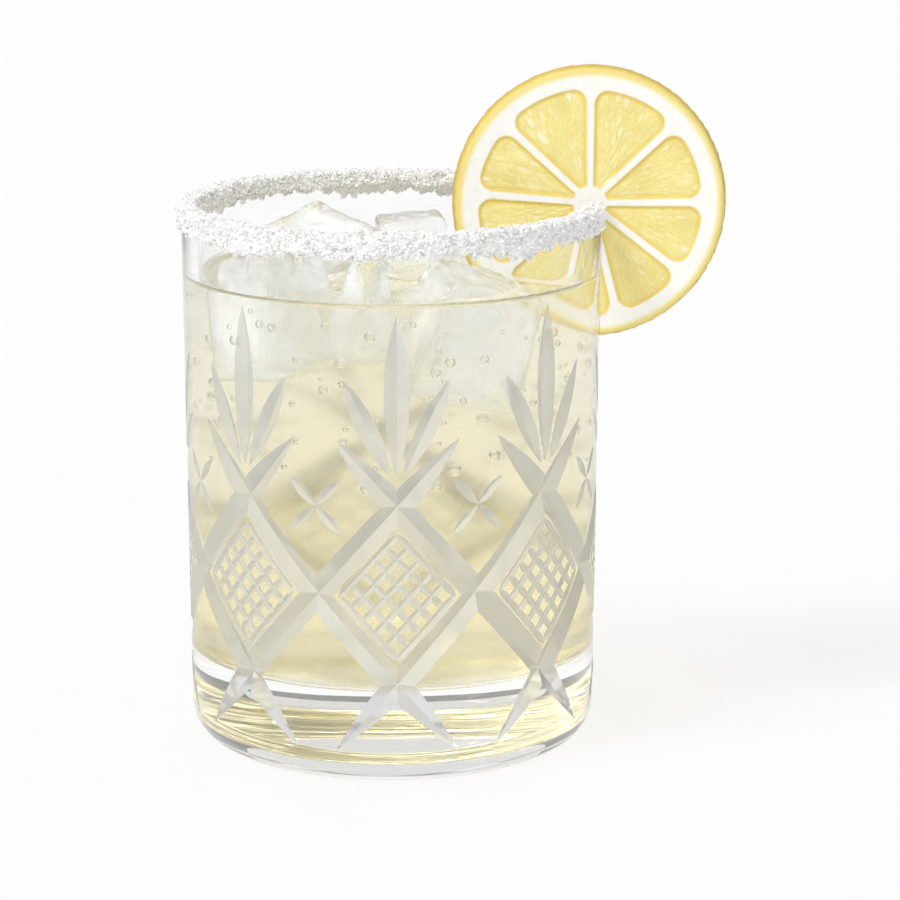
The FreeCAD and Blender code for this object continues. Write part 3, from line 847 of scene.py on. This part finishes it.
# ---------------------------------------------------------------- lemon wheel
def lemon_fields(x, z):
    """For places on the slice: distance from its middle, depth in the pulp, and the nearest segment.

    The depth is negative outside the segments.
    """
    rho = np.hypot(x, z)
    depth = np.full(x.shape, -9.0)
    which = np.zeros(x.shape, int)
    edge = 90.0
    outer = LEMON_RADIUS - LEMON_PITH
    for number, width in enumerate(LEMON_SEGMENTS):
        middle = math.radians(edge - width / 2)
        half = math.radians(width / 2)
        u = x * math.cos(middle) + z * math.sin(middle)
        v = -x * math.sin(middle) + z * math.cos(middle)
        membrane = 0.42 + 0.01 * u
        sides = u * math.sin(half) - np.abs(v) * math.cos(half) - membrane
        round_outer = outer + 0.35 * math.sin(5 * number) - np.hypot(u, v)
        p, q = LEMON_CORNER - sides, LEMON_CORNER - round_outer
        d = np.where((p > 0) & (q > 0), LEMON_CORNER - np.hypot(p, q), np.minimum(sides, round_outer))
        d = np.minimum(d, u - LEMON_CORE)
        which = np.where(d > depth, number, which)
        depth = np.maximum(depth, d)
        edge -= width
    return rho, depth, which


def lemon_disc(rings, spokes):
    """Points and faces of the uncut slice in its place, upright, with flat faces and a rounded edge."""
    half = LEMON_THICKNESS / 2
    radii = list(np.linspace(0, LEMON_FLAT, rings + 1)[1:])
    path = [(0, -half)] + [(r, -half) for r in radii]
    for t in np.linspace(-1, 1, 17)[1:-1]:
        path.append((LEMON_FLAT + LEMON_CROWN * (1 - t * t), half * t))
    path += [(r, half) for r in radii[::-1]] + [(0, half)]
    points, faces = lathe(path, spokes)
    points = np.array(points)
    upright = np.column_stack((points[:, 0], -points[:, 2], points[:, 1]))
    return upright + (LEMON_X, 0, LEMON_Z), faces


def slit_cutter(steps=8):
    """What the glass wall takes from the slice: a slab curved as the wall is, and a hair wider."""
    low, gap = HEIGHT - 1.3 * LEMON_RADIUS, SLIT_CLEARANCE
    outline = [(outer_radius(low) + gap, low), (outer_radius(HEIGHT) + gap, HEIGHT),
               (inner_radius(HEIGHT) - gap, HEIGHT), (inner_radius(low) - gap, low)]
    turns = np.radians(np.linspace(-8, 8, steps + 1))
    points = [(r * math.cos(t), r * math.sin(t), z) for t in turns for r, z in outline]
    faces = [(3, 2, 1, 0), tuple(4 * steps + k for k in range(4))]
    for i in range(0, 4 * steps, 4):
        faces += [(i + k, i + (k + 1) % 4, i + 4 + (k + 1) % 4, i + 4 + k) for k in range(4)]
    slit = make_object("slit", points, faces)
    outward_faces(slit)
    return slit


def face_relief(place, rho, depth, sacs):
    """How far the cut faces stand out: pulp lies below the membranes and swells again in each segment."""
    sunk = np.clip(depth / 0.9, 0, 1)
    sunk = sunk * sunk * (3 - 2 * sunk)
    swell = np.sqrt(np.clip((depth - 0.6) / 4.0, 0, 1))
    relief = -PULP_SUNK * sunk + PULP_SWELL * swell + SAC_HEIGHT * sacs * np.clip(depth / 1.2, 0, 1)
    relief += 0.05 * waves(place, 5, 60)
    return relief - 0.12 * np.clip((rho - LEMON_FLAT + 0.6) / 0.6, 0, 1)


def make_lemon():
    """The slice on the lip, with relief in its faces and dimples in its zest."""
    wheel = make_object("lemon_slice", *lemon_disc(92, 440))
    outward_faces(wheel)
    cut_away(wheel, [slit_cutter()])
    mesh = wheel.data
    place = np.empty(3 * len(mesh.vertices))
    mesh.vertices.foreach_get("co", place)
    place = place.reshape(-1, 3) / MM
    x, y, z = place[:, 0] - LEMON_X, place[:, 1], place[:, 2] - LEMON_Z
    rho, depth, which = lemon_fields(x, z)
    sacs, tone = vesicles(x, z, which, depth)
    on_face = np.abs(y) > LEMON_THICKNESS / 2 - 0.01
    place[:, 1] += np.where(on_face, np.sign(y) * face_relief(place, rho, depth, sacs), 0)
    on_rind = ~on_face & (rho > LEMON_FLAT - 0.05)
    dimple = 0.10 * waves(place, 2.2, 61, 2) - 0.1
    radial = np.column_stack((x, np.zeros(len(x)), z)) / np.maximum(rho, 1e-6)[:, None]
    place = place + radial * np.where(on_rind, dimple, 0)[:, None]
    mesh.vertices.foreach_set("co", (place * MM).ravel())
    for key, value in (("pulp", depth), ("rho", rho), ("vesicle", sacs), ("tone", tone)):
        attribute = mesh.attributes.new(key, "FLOAT", "POINT")
        attribute.data.foreach_set("value", value.astype(float))
    mesh.update()
    mesh.materials.append(lemon_material())
    shade(mesh, 50)
    belongs(wheel, "lemon", "lemon_wheel")


def vesicles(x, z, which, depth):
    """Heights and tones, 0 to 1, of the juice sacs: long cells that point to the slice's middle. A sac's
    tone is its own random paleness and also a painted highlight on the wet sac.
    """
    height, tone = np.zeros(x.shape), np.zeros(x.shape)
    edge = 90.0
    for number, width in enumerate(LEMON_SEGMENTS):
        mine = np.where((which == number) & (depth > 0))[0]
        local = np.random.default_rng(100 + number)
        middle = math.radians(edge - width / 2)
        edge -= width
        if not len(mine):
            continue
        u = x[mine] * math.cos(middle) + z[mine] * math.sin(middle)
        v = -x[mine] * math.sin(middle) + z[mine] * math.cos(middle)
        count = int(width * 1.9)  # sacs in this segment
        su = 3.5 + 19 * local.random(count) ** 0.7
        sv = (local.random(count) * 2 - 1) * np.tan(math.radians(width / 2)) * su
        heading = np.arctan2(sv, su)
        near = np.full((2, len(mine)), 9.0)
        paleness_and_glint = np.zeros(len(mine))
        # each sac gets a random paleness, which also serves as a painted highlight
        for a, b, h, light in zip(su, sv, heading, local.random(count)):
            du, dv = u - a, v - b
            lengthwise = du * math.cos(h) + dv * math.sin(h)
            crosswise = -du * math.sin(h) + dv * math.cos(h)
            d = np.hypot(lengthwise / 3.6, crosswise / (0.75 + 0.02 * a))
            closer = d < near[0]
            near[1] = np.where(closer, near[0], np.minimum(near[1], d))
            near[0] = np.where(closer, d, near[0])
            paleness_and_glint = np.where(closer, light, paleness_and_glint)
        height[mine] = np.clip((near[1] - near[0]) * 1.6, 0, 1) ** 0.6
        tone[mine] = paleness_and_glint * height[mine]
    return height, tone


def lemon_material():
    """Pulp, pith and zest, told apart by the depth in the pulp and the distance from the middle."""
    n = Nodes("lemon")
    pulp, rho, vesicle, tone = [n.attribute(name) for name in ("pulp", "rho", "vesicle", "tone")]
    place = n.add("TexCoord").outputs["Object"]
    fine = n.add("TexNoise", Vector=place, Scale=900.0, Detail=4.0)
    broad = n.add("TexNoise", Vector=place, Scale=130.0, Detail=2.0)

    flesh = n.ramp(vesicle, [(0.0, (0.94, 0.88, 0.56)), (0.35, (0.87, 0.755, 0.27)),
                             (1.0, (0.88, 0.785, 0.34))])
    # pale sacs: partly their own random tone, partly painted highlights
    flesh = n.mixed(n.mapped(tone, 0.5, 0.85, 0.0, 0.75), flesh, (0.96, 0.92, 0.70))
    flesh = n.mixed(n.mapped(pulp, 0.2, 1.3), (0.80, 0.60, 0.10), flesh)
    patches = n.ramp(broad.outputs[0], [(0.3, (0.93, 0.89, 0.78)), (0.62, (1, 1, 1))])
    flesh = n.mixed(1.0, flesh, patches, "MULTIPLY")

    pith = n.ramp(fine.outputs[0], [(0.3, (0.90, 0.885, 0.82)), (0.7, (0.95, 0.94, 0.90))])
    across_zest = n.mapped(rho, LEMON_RADIUS - 2.7, LEMON_RADIUS - 0.1)
    zest = n.ramp(across_zest, [(0.0, (0.94, 0.89, 0.58)), (0.35, (0.86, 0.765, 0.34)),
                                (0.8, (0.81, 0.645, 0.18)), (1.0, (0.62, 0.44, 0.07))])
    in_pulp = n.mapped(pulp, -0.05, 0.35)
    in_zest = n.mapped(rho, LEMON_RADIUS - 2.6, LEMON_RADIUS - 1.6)
    colour = n.mixed(in_zest, n.mixed(in_pulp, pith, flesh), zest)
    rough = n.mapped(in_pulp, 0.0, 1.0, 0.55, 0.22)
    bump = n.add("Bump", Height=fine.outputs[0], Strength=0.25, Distance=0.0003)
    shader = n.add("BsdfPrincipled", Base_Color=colour, Roughness=rough, Normal=bump.outputs[0],
                   Subsurface_Weight=0.35, Subsurface_Radius=(0.004, 0.0028, 0.001))
    return n.finish(shader.outputs[0])


make_lemon()


# ---------------------------------------------------------------- stage, light and camera
def seen_rays(add, link):
    """1 for what the camera, gloss and clear things show, 0 for the light that falls on things."""
    path = add("ShaderNodeLightPath")
    total = path.outputs["Is Camera Ray"]
    for kind in ("Is Glossy Ray", "Is Transmission Ray"):
        either = add("ShaderNodeMath")
        either.operation = "MAXIMUM"
        link(total, either.inputs[0])
        link(path.outputs[kind], either.inputs[1])
        total = either.outputs[0]
    return total


def make_floor():
    """A pale floor, partly self-lit where it is seen, so that shadows on it stay faint."""
    n = Nodes("floor")
    white = n.add("Emission", Color=(1, 1, 1), Strength=1.0)
    place = n.add("TexCoord")
    grain = n.add("TexNoise", Vector=place.outputs["Object"], Scale=40.0)
    tone = n.ramp(grain.outputs[0], [(0.3, (0.90, 0.90, 0.90)), (0.7, (0.92, 0.92, 0.92))])
    paint = n.add("BsdfDiffuse", Color=tone)
    seen = seen_rays(n.tree.nodes.new, n.tree.links.new)
    share = n.add("Math", {"operation": "MULTIPLY"}, i0=seen, i1=0.6)
    mix = n.add("MixShader", i0=share.outputs[0], i1=paint.outputs[0], i2=white.outputs[0])
    size, level = 6000, -0.02  # a hair below the foot
    corners = [(-size, -size, level), (size, -size, level), (size, size, level), (-size, size, level)]
    make_object("floor", corners, [(0, 1, 2, 3)], n.finish(mix.outputs[0]))


def make_card(name, start, end, low, high, grey):
    """A card that stands from one place (x, y) to another. Only gloss and clear things show it."""
    n = Nodes(name)
    paint = n.add("Emission", Color=(grey, grey, grey * 0.98), Strength=1.0)
    corners = [(*start, low), (*end, low), (*end, high), (*start, high)]
    card = make_object(name, corners, [(0, 1, 2, 3)], n.finish(paint.outputs[0]))
    card.visible_camera = card.visible_diffuse = card.visible_shadow = card.visible_volume_scatter = False


def make_cards():
    """Grey cards behind and beside the glass, which draw its edges. They are darker at the sides."""
    left, right, horizon = (-1500, 900), (1500, 900), 90
    make_card("card_back", left, right, horizon, 900, 0.72)
    make_card("card_horizon", left, right, 0, horizon, 0.30)
    for side in (-1, 1):
        behind, beside, ahead = (side * 480, 700), (side * 900, 250), (side * 900, -500)
        make_card("card_side", behind, beside, 0, 900, 0.20)
        make_card("card_edge", beside, ahead, 0, 700, 0.04)


def make_world():
    """White where it is seen, and weaker where it lights things."""
    world = bpy.data.worlds.new("studio")
    bpy.context.scene.world = world
    world.use_nodes = True
    tree = world.node_tree
    tree.nodes.clear()
    out = tree.nodes.new("ShaderNodeOutputWorld")
    mix = tree.nodes.new("ShaderNodeMixShader")
    tree.links.new(seen_rays(tree.nodes.new, tree.links.new), mix.inputs[0])
    for socket, strength in ((1, 0.58), (2, 1.0)):
        light = tree.nodes.new("ShaderNodeBackground")
        light.inputs["Color"].default_value = (1, 1, 1, 1)
        light.inputs["Strength"].default_value = strength
        tree.links.new(light.outputs[0], mix.inputs[socket])
    tree.links.new(mix.outputs[0], out.inputs["Surface"])


def soft_sun(name, place, strength, spread):
    """Light from the direction of a place; the spread in degrees softens its shadows."""
    lamp = bpy.data.lights.new(name, "SUN")
    lamp.energy, lamp.angle = strength, math.radians(spread)
    thing = bpy.data.objects.new(name, lamp)
    bpy.context.scene.collection.objects.link(thing)
    thing.location = place
    thing.rotation_euler = (-Vector(place)).to_track_quat("-Z", "Y").to_euler()


def make_camera():
    """In front, a little above the lip and a hair to the side, aimed a little right and low."""
    camera = bpy.data.cameras.new("camera")
    camera.sensor_width, camera.lens = 36.0, 165.0
    camera.clip_start, camera.clip_end = 0.05, 30
    viewer = bpy.data.objects.new("camera", camera)
    bpy.context.scene.collection.objects.link(viewer)
    eye, forward = Vector((0, -0.815, 0.241)), Vector((0, 0.978, -0.2088))
    right, up = Vector((1, 0, 0)), Vector((0, 0.2088, 0.978))
    aim = forward + 0.01406 * right - 0.00887 * up
    swing = Matrix.Rotation(math.radians(-1.3), 3, "Z")
    viewer.location = swing @ eye
    viewer.rotation_euler = (swing @ aim).to_track_quat("-Z", "Y").to_euler()
    bpy.context.scene.camera = viewer


make_floor()
make_cards()
make_world()
soft_sun("key", (-0.50, -0.44, 0.76), 1.8, 24)
soft_sun("fill", (0.25, -0.85, 0.42), 0.35, 40)
make_camera()

scene = bpy.context.scene
scene.view_settings.view_transform = "Standard"
scene.cycles.max_bounces = 24
scene.cycles.transmission_bounces = 24
scene.cycles.transparent_max_bounces = 24
scene.cycles.glossy_bounces = 8
scene.cycles.volume_bounces = 8
